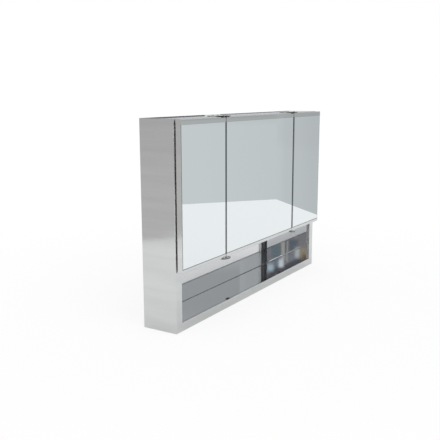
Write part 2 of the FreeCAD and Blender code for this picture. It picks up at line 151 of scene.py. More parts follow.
class SmallPartsFinish(bpy.types.PropertyGroup):
    """Colours of plastic, rubber, board and magnets."""
    nylon: colour("Nylon", "DEDCD2", "Natural nylon of the hinge bushes")
    case: colour("Catch case", "E4E4E1", "Moulded case of the magnetic catches")
    ferrite: colour("Magnet", "34343A", "Sintered ferrite")
    rubber: colour("Rubber", "1C1C1D", "Rubber buffers")
    board: colour("Board", "9A7A56", "Fibre board inside the doors")
    dot: colour("Pads", "DDE2E1", "Clear vinyl dots under the shelves")


class StudioSettings(bpy.types.PropertyGroup):
    """The floor, the walls that the steel and glass mirror, and the lamps."""
    floor: colour("Floor", "F7F8F8", "Colour of the floor")
    front_wall: colour("Front wall", "CDD1D1", "Colour of the wall that the doors mirror")
    right_wall: colour("Right wall", "C5C9CA", "Colour of the wall at the right end")
    back_wall: colour("Back wall", "CECECD", "Colour of the wall that the left side mirrors")
    left_wall: colour("Left wall", "A2A3A3", "Colour of the wall behind the camera")
    ceiling: colour("Ceiling", "F6F6F6", "Colour of the ceiling")
    floor_light: share("Floor light", 0.8, "Share of plain white that the camera sees on the floor")
    wall_height: length("Wall height", 2600.0, "Height of the walls")
    ambient: share("Ambient", 0.6, "Level of the light from all sides")
    sun: FloatProperty(name="Lamp", description="Strength of the soft lamp", min=0, default=1.5)
    sun_angle: FloatProperty(name="Lamp angle", description="Width of the lamp as the cabinet sees it",
                             subtype="ANGLE", min=0, default=math.radians(70))


def add(tree, kind, sockets=None, **settings):
    """Add one node. A socket takes a value, or an output of another node."""
    node = tree.nodes.new(kind)
    for name, value in settings.items():
        setattr(node, name, value)
    for name, value in (sockets or {}).items():
        socket = node.inputs[name]
        if isinstance(value, bpy.types.NodeSocket):
            tree.links.new(value, socket)
        elif socket.type == "RGBA":
            socket.default_value = (*value, 1)
        else:
            socket.default_value = value
    return node


def shade(rgb, factor):
    """A colour made darker or lighter."""
    return tuple(min(1, c * factor) for c in rgb)


def new_material(name):
    """An empty node material, its tree and its output."""
    material = bpy.data.materials.new(name)
    material.use_nodes = True
    material.node_tree.nodes.clear()
    return material, material.node_tree, add(material.node_tree, "ShaderNodeOutputMaterial")


def finish(names, material):
    """Give CAD nodes one material."""
    for name in names:
        materials = NODES[name].data.materials
        materials.clear()
        materials.append(material)


def tinted(tree, pattern, rgb, dark, light, low=0.3, high=0.7):
    """A colour that drifts with a pattern between a darker and a lighter shade of itself."""
    amount = add(tree, MAP, {"Value": pattern, "From Min": low, "From Max": high}).outputs[0]
    return add(tree, MIX, {"Factor": amount, "A": shade(rgb, dark), "B": shade(rgb, light)},
               data_type="RGBA").outputs["Result"]


def stretched(tree, place, along, across):
    """Coordinates drawn out along the grain: level on upright faces, and left to right on flat ones."""
    upright = add(tree, VECTOR_MATHS, {0: place.outputs["Object"], 1: (1 / along, 1 / along, 1 / across)},
                  operation="MULTIPLY").outputs[0]
    flat = add(tree, VECTOR_MATHS, {0: place.outputs["Object"], 1: (1 / along, 1 / across, 1 / along)},
               operation="MULTIPLY").outputs[0]
    up = add(tree, AXES, {0: place.outputs["Normal"]}).outputs["Z"]
    size = add(tree, MATHS, {0: up}, operation="ABSOLUTE").outputs[0]
    is_flat = add(tree, MATHS, {0: size, 1: 0.7}, operation="GREATER_THAN").outputs[0]
    return add(tree, MIX, {"Factor": is_flat, "A": upright, "B": flat},
               data_type="VECTOR").outputs["Result"]


def between(tree, value, low, high, soft):
    """1 where a value lies between two levels, with soft ends."""
    rise = add(tree, MAP, {"Value": value, "From Min": low - soft / 2, "From Max": low + soft / 2})
    fall = add(tree, MAP, {"Value": value, "From Min": high + soft / 2, "From Max": high - soft / 2})
    return add(tree, MATHS, {0: rise.outputs[0], 1: fall.outputs[0]}, operation="MULTIPLY").outputs[0]


def brushed_stainless(name, detail=None):
    """Stainless sheet ground with a fine belt: its lines run level round the cabinet. The belt was
    so fine that it nearly mirrors, a little more blurred across the grain than along it. A detail
    is a function that changes the tone, the roughness or the bump on some faces of a piece."""
    steel = bpy.context.scene.cabinet_steel
    material, tree, output = new_material(name)
    place = add(tree, PLACE)
    grain = stretched(tree, place, steel.streak, steel.grain)
    lines = add(tree, NOISE, {"Vector": grain, "Scale": 1.0, "Detail": 3.0, "Roughness": 0.7}).outputs[0]
    # The sheet keeps broad bands from the passes of the belt
    bands = stretched(tree, place, 420 * MM, 34 * MM)
    cloud = add(tree, NOISE, {"Vector": bands, "Scale": 1.0, "Detail": 2.0}).outputs[0]
    both = add(tree, MATHS, {0: lines, 1: 0.35, 2: cloud}, operation="MULTIPLY_ADD").outputs[0]
    tone = tinted(tree, both, steel.sheet, 0.94, 1.04, 0.45, 0.9)
    rough = add(tree, MAP, {"Value": lines, "From Min": 0.3, "From Max": 0.7,
                            "To Min": steel.brushed_roughness * 0.85,
                            "To Max": steel.brushed_roughness * 1.2}).outputs[0]
    bump = add(tree, BUMP, {"Height": lines, "Strength": 0.5, "Distance": 0.0015 * MM})
    if detail:
        tone, rough = detail(tree, place, tone, rough, bump)
    # Across the grain is upwards, and on flat faces, by a slight lean, front to back
    across = add(tree, "ShaderNodeVectorTransform", {0: (0.0, 0.02, 1.0)}, vector_type="VECTOR",
                 convert_from="OBJECT", convert_to="WORLD")
    shader = add(tree, PRINCIPLED, {
        "Base Color": tone, "Metallic": 1.0, "Roughness": rough, "Anisotropic": 0.6,
        "Normal": bump.outputs[0], "Tangent": across.outputs[0]})
    tree.links.new(shader.outputs[0], output.inputs[0])
    return material


def glass_opening():
    """Lowest and highest point of the mirror that shows between a door's lips."""
    low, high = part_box("left_door_pan")[0][2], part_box("left_door_cap_rail")[1][2]
    return low + BOTTOM_LIP, high - TOP_LIP


def mill_finish_inside(tree, place, tone, rough, bump):
    """The sheet was ground on its good side alone. Its inner and rear faces, and what lies behind the
    doors, keep the pale, dull finish of the rolling mill, which scatters light."""
    axes = add(tree, AXES, {0: place.outputs["Object"]})
    normal = add(tree, AXES, {0: place.outputs["Normal"]})
    faces_back = add(tree, MATHS, {0: normal.outputs["Y"], 1: 0.5}, operation="GREATER_THAN").outputs[0]
    # Faces near either end of the cabinet that look towards its middle
    outward = add(tree, MATHS, {0: axes.outputs["X"], 1: normal.outputs["X"]}, operation="MULTIPLY")
    faces_in = add(tree, MATHS, {0: outward.outputs[0], 1: -0.3}, operation="LESS_THAN").outputs[0]
    door_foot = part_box("left_door_pan")[0][2]
    above = add(tree, MATHS, {0: axes.outputs["Z"], 1: door_foot}, operation="GREATER_THAN").outputs[0]
    faces_front = add(tree, MATHS, {0: normal.outputs["Y"], 1: -0.9}, operation="LESS_THAN").outputs[0]
    behind_door = add(tree, MATHS, {0: above, 1: faces_front}, operation="MULTIPLY").outputs[0]
    mask = add(tree, MATHS, {0: faces_back, 1: faces_in}, operation="MAXIMUM").outputs[0]
    mask = add(tree, MATHS, {0: mask, 1: behind_door}, operation="MAXIMUM").outputs[0]
    # Cloudy where the rolls left more or less oxide on it
    cloud = add(tree, NOISE, {"Vector": place.outputs["Object"], "Scale": 1 / (50 * MM), "Detail": 4.0})
    mill = tinted(tree, cloud.outputs[0], bpy.context.scene.cabinet_steel.mill, 0.98, 1.02)
    return (add(tree, MIX, {"Factor": mask, "A": tone, "B": mill}, data_type="RGBA").outputs["Result"],
            add(tree, MIX, {"Factor": mask, "A": rough, "B": 0.5}).outputs["Result"])


def cut_edges_with_painted_shade(tree, place, tone, rough, bump):
    """The side walls of a door pan end beside the glass in sheared edges, which are dull and are painted
    dark, as painted shade of the narrow slot beside the glass. The back of the pan keeps its mill finish."""
    steel = bpy.context.scene.cabinet_steel
    low, high = glass_opening()
    axes = add(tree, AXES, {0: place.outputs["Object"]})
    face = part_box("left_door_mirror")[0][1]
    edge = add(tree, MAP, {"Value": axes.outputs["Y"], "From Min": face + 0.4 * MM,
                           "From Max": face + 0.2 * MM}).outputs[0]
    level = between(tree, axes.outputs["Z"], low + 0.2 * MM, high, 0.2 * MM)
    mask = add(tree, MATHS, {0: edge, 1: level}, operation="MULTIPLY").outputs[0]
    normal = add(tree, AXES, {0: place.outputs["Normal"]})
    faces_back = add(tree, MATHS, {0: normal.outputs["Y"], 1: 0.5}, operation="GREATER_THAN").outputs[0]
    dull = add(tree, MATHS, {0: mask, 1: faces_back}, operation="MAXIMUM").outputs[0]
    pale = add(tree, MIX, {"Factor": faces_back, "A": tone, "B": steel.mill},
               data_type="RGBA").outputs["Result"]
    # Painted shade: the sheared edges beside the glass take the dark cut colour
    return (add(tree, MIX, {"Factor": mask, "A": pale, "B": steel.cut}, data_type="RGBA").outputs["Result"],
            add(tree, MIX, {"Factor": dull, "A": rough, "B": 0.5}).outputs["Result"])


def rolled_lip(tree, place, tone, rough, bump):
    """The lip of a cap rail was rolled over, so its face leans back more and more towards its top and
    mirrors what is higher up. The edge was then blended by hand, which dulled the top of the rail."""
    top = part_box("left_door_cap_rail")[1][2]
    height = add(tree, AXES, {0: place.outputs["Object"]}).outputs["Z"]
    lean = add(tree, MAP, {"Value": height, "From Min": top - TOP_LIP, "From Max": top}).outputs[0]
    curve = add(tree, MATHS, {0: lean, 1: 12.0}, operation="POWER").outputs[0]
    roll = add(tree, BUMP, {"Height": curve, "Strength": 1.0, "Distance": 1.5 * MM}, invert=True)
    tree.links.new(roll.outputs[0], bump.inputs["Normal"])
    up = add(tree, AXES, {0: place.outputs["Normal"]}).outputs["Z"]
    is_top = add(tree, MAP, {"Value": up, "From Min": 0.6, "From Max": 0.9}).outputs[0]
    return tone, add(tree, MIX, {"Factor": is_top, "A": rough, "B": 0.45}).outputs["Result"]


def polished_stainless():
    """Stainless sheet polished to a mirror. Thin sheet is never quite flat, so its images wave a little.
    Close to the rail the floor is painted a shade darker, as painted shade at the foot of the rail."""
    steel = bpy.context.scene.cabinet_steel
    material, tree, output = new_material("mirror_polished_stainless_sheet")
    place = add(tree, PLACE).outputs["Object"]
    wave = add(tree, NOISE, {"Vector": place, "Scale": 1 / (160 * MM), "Detail": 1.0}).outputs[0]
    haze = add(tree, NOISE, {"Vector": place, "Scale": 1 / (25 * MM), "Detail": 4.0,
                             "Roughness": 0.65}).outputs[0]
    rough = add(tree, MAP, {"Value": haze, "From Min": 0.35, "From Max": 0.75,
                            "To Min": steel.polished_roughness * 0.6,
                            "To Max": steel.polished_roughness * 2.2}).outputs[0]
    bump = add(tree, BUMP, {"Height": wave, "Strength": 1.0, "Distance": 0.05 * MM})
    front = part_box("niche_floor")[0][1]
    depth = add(tree, AXES, {0: place}).outputs["Y"]
    # Painted shade: the niche floor is painted darker next to the rail
    painted_rail_shade = add(tree, MAP, {"Value": depth, "From Min": front + RAIL_SHADE, "From Max": front + RAIL_SHADE_FADE})
    tone = add(tree, MIX, {"Factor": painted_rail_shade.outputs[0], "A": tinted(tree, haze, steel.polished, 0.98, 1.0),
                           "B": shade(steel.polished, 0.8)}, data_type="RGBA").outputs["Result"]
    shader = add(tree, PRINCIPLED, {"Base Color": tone, "Metallic": 1.0, "Roughness": rough,
                                    "Normal": bump.outputs[0]})
    tree.links.new(shader.outputs[0], output.inputs[0])
    return material


def fold_with_painted_light():
    """Stainless sheet in the hollow of a fold, a little rougher than the lining and painted darker, as
    painted shade in the crease, and streaked along the fold. Near its right end the fold is painted
    brighter, as a painted highlight."""
    steel = bpy.context.scene.cabinet_steel
    material, tree, output = new_material("unpolished_stainless_fold")
    place = add(tree, PLACE).outputs["Object"]
    drawn = add(tree, VECTOR_MATHS, {0: place, 1: (1 / (60 * MM), 1 / (1.5 * MM), 1 / (1.5 * MM))},
                operation="MULTIPLY").outputs[0]
    streaks = add(tree, NOISE, {"Vector": drawn, "Scale": 1.0, "Detail": 3.0}).outputs[0]
    rough = add(tree, MAP, {"Value": streaks, "To Min": 0.06, "To Max": 0.16}).outputs[0]
    bump = add(tree, BUMP, {"Height": streaks, "Strength": 0.5, "Distance": 0.01 * MM})
    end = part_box("niche_floor")[1][0]
    across = add(tree, AXES, {0: place}).outputs["X"]
    # Painted highlight: the fold is painted brighter towards its right end
    painted_highlight = add(tree, MAP, {"Value": across, "From Min": end - HIGHLIGHT_FROM,
                              "From Max": end - HIGHLIGHT_FULLY})
    tone = add(tree, MIX, {"Factor": painted_highlight.outputs[0], "A": tinted(tree, streaks, steel.fold, 0.9, 1.1),
                           "B": shade(steel.polished, 1.05)}, data_type="RGBA").outputs["Result"]
    shader = add(tree, PRINCIPLED, {"Base Color": tone, "Metallic": 1.0, "Roughness": rough,
                                    "Normal": bump.outputs[0]})
    tree.links.new(shader.outputs[0], output.inputs[0])
    return material


def silvered_mirror():
    """Float glass silvered and painted at the back: bright at the front, green at its ground edges.
    Along each lip and beside each gap the silver is painted dark, as a painted reflection of the lip and of
    the ground edge, which the eye would see through the glass."""
    glass = bpy.context.scene.cabinet_glass
    material, tree, output = new_material("silvered_float_glass")
    place = add(tree, PLACE)
    facing = add(tree, AXES, {0: place.outputs["Normal"]}).outputs["Y"]
    front = add(tree, MAP, {"Value": facing, "From Min": -0.95, "From Max": -0.99}).outputs[0]
    back = add(tree, MAP, {"Value": facing, "From Min": 0.95, "From Max": 0.99}).outputs[0]
    grind = add(tree, NOISE, {"Vector": place.outputs["Object"], "Scale": 1 / (2 * MM)}).outputs[0]
    behind = add(tree, MIX, {"Factor": back, "A": tinted(tree, grind, glass.edge, 0.7, 1.0),
                             "B": glass.paint}, data_type="RGBA").outputs["Result"]
    low, high = glass_opening()
    axes = add(tree, AXES, {0: place.outputs["Object"]})
    clear = between(tree, axes.outputs["Z"], low + LOW_LINE, high - HIGH_LINE, 0.4 * MM)
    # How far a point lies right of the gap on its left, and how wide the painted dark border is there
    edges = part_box("centre_door_mirror")[0][0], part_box("right_door_mirror")[0][0]
    from_edge = add(tree, MATHS, {0: axes.outputs["X"], 1: -edges[0]}, operation="ADD").outputs[0]
    from_edge = add(tree, MATHS, {0: from_edge, 1: edges[1] - edges[0]},
                    operation="FLOORED_MODULO").outputs[0]
    reach = add(tree, MAP, {"Value": axes.outputs["X"], "From Min": edges[0], "From Max": edges[1],
                            "To Min": glass.left_border, "To Max": glass.right_border}).outputs[0]
    inside = add(tree, MATHS, {0: from_edge, 1: reach}, operation="GREATER_THAN").outputs[0]
    shows = add(tree, MATHS, {0: clear, 1: inside}, operation="MULTIPLY").outputs[0]
    # Painted reflection: the silver is darkened along the lips and beside the gaps
    silver = add(tree, MIX, {"Factor": shows, "A": shade(glass.silver, 0.3), "B": glass.silver},
                 data_type="RGBA").outputs["Result"]
    smear = add(tree, NOISE, {"Vector": place.outputs["Object"], "Scale": 1 / (70 * MM),
                              "Detail": 5.0, "Roughness": 0.7}).outputs[0]
    wiped = add(tree, MAP, {"Value": smear, "From Min": 0.45, "From Max": 0.8, "To Max": 0.02}).outputs[0]
    shader = add(tree, PRINCIPLED, {
        "Base Color": add(tree, MIX, {"Factor": front, "A": behind, "B": silver},
                          data_type="RGBA").outputs["Result"],
        "Metallic": front,
        "Roughness": add(tree, MIX, {"Factor": front, "A": 0.22, "B": wiped}).outputs["Result"]})
    tree.links.new(shader.outputs[0], output.inputs[0])
    return material


def float_glass():
    """Clear float glass with softened edges. Its iron gives the edges a green tint."""
    glass = bpy.context.scene.cabinet_glass
    material, tree, output = new_material("clear_float_glass")
    place = add(tree, PLACE).outputs["Object"]
    dust = add(tree, NOISE, {"Vector": place, "Scale": 1 / (40 * MM), "Detail": 4.0}).outputs[0]
    rough = add(tree, MAP, {"Value": dust, "From Min": 0.5, "From Max": 0.9, "To Max": 0.03}).outputs[0]
    shader = add(tree, PRINCIPLED, {"Base Color": tinted(tree, dust, glass.shelf, 0.97, 1.0, 0.0, 1.0),
                                    "Roughness": rough, "IOR": 1.52, "Transmission Weight": 1.0})
    tree.links.new(shader.outputs[0], output.inputs[0])
    return material


def speckled_metal(name, rgb, roughness, grain, depth):
    """Steel with an even, fine-grained finish."""
    material, tree, output = new_material(name)
    place = add(tree, PLACE).outputs["Object"]
    grit = add(tree, NOISE, {"Vector": place, "Scale": 1 / grain, "Detail": 3.0}).outputs[0]
    patch = add(tree, NOISE, {"Vector": place, "Scale": 1 / (grain * 12)}).outputs[0]
    both = add(tree, MATHS, {0: grit, 1: patch}, operation="ADD").outputs[0]
    rough = add(tree, MAP, {"Value": both, "From Min": 0.7, "From Max": 1.3, "To Min": roughness * 0.8,
                            "To Max": roughness * 1.3}).outputs[0]
    bump = add(tree, BUMP, {"Height": grit, "Strength": 0.6, "Distance": depth})
    shader = add(tree, PRINCIPLED, {"Base Color": tinted(tree, both, rgb, 0.86, 1.05, 0.7, 1.3),
                                    "Metallic": 1.0, "Roughness": rough, "Normal": bump.outputs[0]})
    tree.links.new(shader.outputs[0], output.inputs[0])
    return material


def moulded(name, rgb, roughness, grain, depth, ior=1.5, variation=0.06):
    """Plastic, rubber or board: a plain body colour with a fine surface texture."""
    material, tree, output = new_material(name)
    place = add(tree, PLACE).outputs["Object"]
    grit = add(tree, NOISE, {"Vector": place, "Scale": 1 / grain, "Detail": 4.0}).outputs[0]
    rough = add(tree, MAP, {"Value": grit, "To Min": roughness * 0.85, "To Max": roughness * 1.15})
    bump = add(tree, BUMP, {"Height": grit, "Strength": 0.5, "Distance": depth})
    shader = add(tree, PRINCIPLED, {
        "Base Color": tinted(tree, grit, rgb, 1 - variation, 1 + variation, 0.0, 1.0),
        "Roughness": rough.outputs[0], "IOR": ior, "Normal": bump.outputs[0]})
    tree.links.new(shader.outputs[0], output.inputs[0])
    return material


def made(name, maker, *values):
    """The material of that name, made at its first use."""
    return bpy.data.materials.get(name) or maker(*values)


def brushed():
    """The brushed sheet of the carcass."""
    return made("brushed_stainless_sheet", brushed_stainless, "brushed_stainless_sheet")


def zinc():
    """Bright zinc plating: bluish grey and slightly cloudy."""
    return made("bright_zinc_plated_steel", speckled_metal, "bright_zinc_plated_steel",
                bpy.context.scene.cabinet_steel.zinc, 0.3, 0.8 * MM, 0.004 * MM)


def laser_cut_plate():
    """Stainless plate with an even satin face and the striped edge that a laser cut leaves. Where the plate
    reaches out in front of the carcass, its edges and the faces below are painted dark, as painted shade."""
    steel = bpy.context.scene.cabinet_steel
    material, tree, output = new_material("laser_cut_stainless_plate")
    place = add(tree, PLACE)
    up = add(tree, AXES, {0: place.outputs["Normal"]}).outputs["Z"]
    face = add(tree, MAP, {"Value": up, "From Min": 0.5, "From Max": 0.8}).outputs[0]
    depth = add(tree, AXES, {0: place.outputs["Object"]}).outputs["Y"]
    front_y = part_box("left_side_panel")[0][1]
    shade_ahead = add(tree, MAP, {"Value": depth, "From Min": front_y,
                           "From Max": front_y - PLATE_NOSE}).outputs[0]
    grit = add(tree, NOISE, {"Vector": place.outputs["Object"], "Scale": 1 / (0.5 * MM),
                             "Detail": 3.0}).outputs[0]
    drawn = add(tree, VECTOR_MATHS, {0: place.outputs["Object"],
                                     1: (1 / (0.4 * MM), 1 / (0.4 * MM), 1 / (6 * MM))},
                operation="MULTIPLY").outputs[0]
    stripes = add(tree, NOISE, {"Vector": drawn, "Scale": 1.0, "Detail": 1.0}).outputs[0]
    # Painted shade: edges and faces below turn dark in front of the carcass
    cut = add(tree, MIX, {"Factor": shade_ahead, "A": tinted(tree, stripes, steel.plate, 0.9, 1.05),
                          "B": tinted(tree, stripes, steel.cut, 0.3, 0.65)},
              data_type="RGBA").outputs["Result"]
    tone = add(tree, MIX, {"Factor": face, "A": cut, "B": tinted(tree, grit, steel.plate, 0.93, 1.05)},
               data_type="RGBA").outputs["Result"]
    rough = add(tree, MIX, {"Factor": face, "A": 0.5, "B": 0.3}).outputs["Result"]
    relief = add(tree, MIX, {"Factor": face, "A": stripes, "B": grit}).outputs["Result"]
    bump = add(tree, BUMP, {"Height": relief, "Strength": 0.6, "Distance": 0.003 * MM})
    shader = add(tree, PRINCIPLED, {"Base Color": tone, "Metallic": 1.0, "Roughness": rough,
                                    "Normal": bump.outputs[0]})
    tree.links.new(shader.outputs[0], output.inputs[0])
    return material


class CABINET_OT_side_panels(bpy.types.Operator):
    """Finish the two side panels with their stiles"""
    bl_idname = "cabinet.side_panels"
    bl_label = "Side panels"

    def execute(self, context):
        finish(("left_side_panel", "right_side_panel"),
               brushed_stainless("brushed_stainless_side_panel", mill_finish_inside))
        return {"FINISHED"}


class CABINET_OT_top_and_bottom(bpy.types.Operator):
    """Finish the top panel and the bottom panel with its rail"""
    bl_idname = "cabinet.top_and_bottom"
    bl_label = "Top and bottom panels"

    def execute(self, context):
        finish(("top_panel",), brushed())
        finish(("bottom_panel",), brushed_stainless("brushed_stainless_bottom_panel", mill_finish_inside))
        return {"FINISHED"}


class CABINET_OT_back_panel(bpy.types.Operator):
    """Finish the back panel and the plates at its wall holes"""
    bl_idname = "cabinet.back_panel"
    bl_label = "Back panel"

    def execute(self, context):
        finish(("back_panel",), brushed_stainless("mill_finish_stainless_back_panel", mill_finish_inside))
        finish(("wall_plates",), zinc())
        return {"FINISHED"}


class CABINET_OT_compartment(bpy.types.Operator):
    """Finish the compartment floor, the partitions and the shelf rests"""
    bl_idname = "cabinet.compartment"
    bl_label = "Compartment"

    def execute(self, context):
        finish(("compartment_floor", "left_partition", "right_partition", "shelf_rests"), brushed())
        return {"FINISHED"}


class CABINET_OT_niche_lining(bpy.types.Operator):
    """Finish the polished lining of the open niche"""
    bl_idname = "cabinet.niche_lining"
    bl_label = "Niche lining"

    def execute(self, context):
        finish([name for name in NODES if name.startswith("niche_")], polished_stainless())
        return {"FINISHED"}


class CABINET_OT_lining_fold(bpy.types.Operator):
    """Make the hollow fold where the back of the lining turns into its floor"""
    bl_idname = "cabinet.lining_fold"
    bl_label = "Lining fold"

    def execute(self, context):
        radius = context.scene.cabinet_steel.fold_radius
        back_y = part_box("niche_back")[0][1]
        floor_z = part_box("niche_floor")[1][2]
        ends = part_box("niche_left_cheek")[1][0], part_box("niche_right_cheek")[0][0]
        section = [(back_y, floor_z)]
        for step in range(FOLD_STEPS + 1):
            turn = math.radians(90) * step / FOLD_STEPS
            section.append((back_y - radius + radius * math.sin(turn),
                            floor_z + radius - radius * math.cos(turn)))
        # The hollow is smooth and ends in sharp edges at the two flat sides that lie on the lining
        form = bmesh.new()
        rings = [[form.verts.new((x, y, z)) for y, z in section] for x in ends]
        count = len(section)
        for i in range(count):
            j = (i + 1) % count
            form.faces.new((rings[0][i], rings[0][j], rings[1][j], rings[1][i])).smooth = 0 < i < count - 1
        form.faces.new(rings[0])
        form.faces.new(reversed(rings[1]))
        bmesh.ops.recalc_face_normals(form, faces=form.faces)
        for edge in form.edges:
            edge.smooth = all(face.smooth for face in edge.link_faces)
        mesh = bpy.data.meshes.new("lining_fold")
        form.to_mesh(mesh)
        form.free()
        mesh.materials.append(fold_with_painted_light())
        piece = bpy.data.objects.new("lining_fold", mesh)
        context.scene.collection.objects.link(piece)
        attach(piece, "cabinet")
        return {"FINISHED"}


class CABINET_OT_shelves(bpy.types.Operator):
    """Finish the glass shelves and the dots that they lie on"""
    bl_idname = "cabinet.shelves"
    bl_label = "Glass shelves"

    def execute(self, context):
        parts = context.scene.cabinet_parts
        finish([name for name in NODES if name.endswith("_shelf")], float_glass())
        # Vinyl dots look pale and a little milky between the glass and the steel
        finish(("shelf_pads",), moulded("clear_vinyl_dots", parts.dot, 0.2, 0.5 * MM, 0.002 * MM))
        return {"FINISHED"}


class CABINET_OT_hinge_plates(bpy.types.Operator):
    """Finish the hinge plates, their screws and the nylon bushes"""
    bl_idname = "cabinet.hinge_plates"
    bl_label = "Hinge plates"

    def execute(self, context):
        parts = context.scene.cabinet_parts
        finish([f"{end}_{kind}_hinge_plate" for end in ("top", "bottom") for kind in GAPS],
               laser_cut_plate())
        finish(("hinge_plate_screws",), zinc())
        # Undyed nylon is off-white and waxy
        finish(("hinge_bushes",), moulded("moulded_nylon", parts.nylon, 0.4, 0.4 * MM, 0.004 * MM))
        return {"FINISHED"}


class CABINET_OT_catches(bpy.types.Operator):
    """Finish the magnetic catches and the rubber buffers"""
    bl_idname = "cabinet.catches"
    bl_label = "Catches and buffers"

    def execute(self, context):
        parts = context.scene.cabinet_parts
        # ABS keeps the slight texture of its mould
        finish(("catch_housings",), moulded("moulded_abs", parts.case, 0.38, 0.5 * MM, 0.01 * MM))
        # Ferrite is a dark ceramic, grainy from sintering, with a dull shine
        finish(("catch_magnets",), moulded("sintered_ferrite", parts.ferrite, 0.55, 0.3 * MM, 0.01 * MM,
                                           ior=2.4, variation=0.2))
        finish(("catch_screws",), zinc())
        # Rubber is near black and matt
        finish(("door_buffers",), moulded("moulded_rubber", parts.rubber, 0.6, 0.6 * MM, 0.01 * MM,
                                          ior=1.52, variation=0.15))
        return {"FINISHED"}


class CABINET_OT_door_shells(bpy.types.Operator):
    """Finish the folded pan and the cap rail of each door"""
    bl_idname = "cabinet.door_shells"
    bl_label = "Door shells"

    def execute(self, context):
        finish([f"{door}_door_pan" for door in DOORS],
               brushed_stainless("brushed_stainless_door_pan", cut_edges_with_painted_shade))
        finish([f"{door}_door_cap_rail" for door in DOORS],
               brushed_stainless("brushed_stainless_cap_rail", rolled_lip))
        return {"FINISHED"}


class CABINET_OT_mirrors(bpy.types.Operator):
    """Finish the mirror glass and the board behind it"""
    bl_idname = "cabinet.mirrors"
    bl_label = "Mirrors"

    def execute(self, context):
        parts = context.scene.cabinet_parts
        finish([f"{door}_door_mirror" for door in DOORS], silvered_mirror())
        # Fibre board is brown and matt, and mottled by its fibres
        finish([f"{door}_door_board" for door in DOORS],
               moulded("fibre_board", parts.board, 0.8, 0.7 * MM, 0.02 * MM, variation=0.18))
        return {"FINISHED"}


class CABINET_OT_door_fittings(bpy.types.Operator):
    """Finish the end blocks, pivot screws and strikes of the doors"""
    bl_idname = "cabinet.door_fittings"
    bl_label = "Door fittings"

    def execute(self, context):
        finish([f"{door}_door_{part}" for door in DOORS
                for part in ("end_blocks", "pivot_screws", "strike")], zinc())
        return {"FINISHED"}


# The camera of the photograph: where it stands, where it looks and how long its lens is
CAMERA_PLACE = (-2.0332, -1.1554, 0.7169)
CAMERA_YAW = math.radians(58.101)
CAMERA_PITCH = math.radians(10.851)
CAMERA_ROLL = math.radians(0.149)
CAMERA_LENS = 53.41

# The mirrored walls stand on a rectangle that is askew to the cabinet. Places in it are given along its
# length and its width, in metres from the corner at the front right
ROOM_CORNER = Vector((2.0285, -1.0005))
ROOM_TURN = math.radians(220.0)
ROOM_LENGTH = 4.4
ROOM_WIDTH = 3.68
# How far the right wall stands inside that rectangle
RIGHT_WALL_INSET = 0.04
# Space from the left wall to the first screen, from one screen to the next, and from the wall to the cloth
SCREEN_INSET = 0.05
SCREEN_STEP = 0.002
CLOTH_INSET = 0.04

# The floor is twice as wide as its reach and lies a hair under the cabinet, so that their faces don't
# fall into one plane. Beyond the reach of the shadow the camera sees it as plain white
FLOOR_REACH = 30.0
FLOOR_DROP = 0.2 * MM
SHADOW_REACH = 1.6
# Where the light of the soft lamp comes from
LAMP_FROM = Vector((-0.35, -0.45, 1.0))
MIRROR_BOUNCES = 12

# How the light changes along each wall and up it: places in metres and the share of its colour there
FRONT_ALONG = ((0.0, 0.97), (0.15, 0.985), (0.3, 1.0), (0.6, 1.03), (ROOM_LENGTH, 1.03))
FRONT_UP = ((0.0, 1.0), (0.51, 1.0), (0.56, 0.93), (0.62, 0.82), (0.85, 0.82), (1.0, 0.9), (1.3, 1.05),
            (1.7, 1.2), (2.6, 1.2))
RIGHT_ALONG = ((0.0, 1.06), (0.06, 1.05), (0.15, 1.0), (0.35, 0.985), (0.55, 0.94), (1.1, 0.94),
               (1.5, 1.2), (ROOM_WIDTH, 1.2))
RIGHT_UP = ((0.0, 1.0), (0.35, 1.0), (0.42, 0.97), (0.6, 0.97), (0.9, 0.97), (1.3, 1.2), (2.6, 1.2))
BACK_UP = ((0.0, 1.04), (0.15, 1.02), (0.35, 1.0), (0.55, 0.94), (1.0, 0.9), (2.6, 0.9))
EVEN = ((0.0, 1.0), (ROOM_LENGTH, 1.0))

# Screens and lamps behind the camera, which show in the polished corner of the niche: their places
# along the left wall and above the floor in metres, their colour, how bright they are and which share
# of them is a soft edge
SCREENS = (
    ("screen_left", 2.565, 2.645, 0.9, 1.055, "A6A6AE", 1.0, 0.3),
    ("screen_middle", 2.605, 2.735, 0.87, 1.07, "889AA0", 1.0, 0.3),
    ("screen_right", 2.795, 2.915, 0.84, 0.98, "7E878E", 1.0, 0.2),
    ("post", 2.722, 2.762, 0.84, 1.075, "D8D8CE", 1.0, 0.05),
    ("post_edge", 2.762, 2.779, 0.84, 1.02, "6E6E6C", 1.0, 0.05),
    ("post_side", 2.779, 2.798, 0.84, 1.1, "D0D0D2", 1.0, 0.05),
    ("teal_card", 2.63, 2.71, 1.05, 1.15, "8FA0A8", 1.0, 0.3),
    ("lamp_left", 2.56, 2.652, 1.085, 1.2, "D4ECF6", 1.1, 0.3),
    ("lamp_middle", 2.685, 2.756, 1.035, 1.16, "F2FAFF", 1.3, 0.3),
    ("panel", 2.808, 2.862, 1.0, 1.09, "A3ABBC", 1.0, 0.3),
    ("lamp_right", 2.86, 2.93, 0.915, 1.07, "E6EDEA", 1.05, 0.3),
    ("board", 2.912, 3.015, 0.91, 1.07, "C4B29A", 1.0, 0.2),
    ("cloth_right", 2.935, 3.01, 1.0, 1.09, "917C62", 1.0, 0.3),
    ("low_lamp_left", 2.3, 2.57, 0.3, 0.82, "F2F6FF", 5.0, 0.15),
    ("low_lamp_right", 2.72, 2.9, 0.3, 0.82, "F2F6FF", 1.6, 0.1),
)
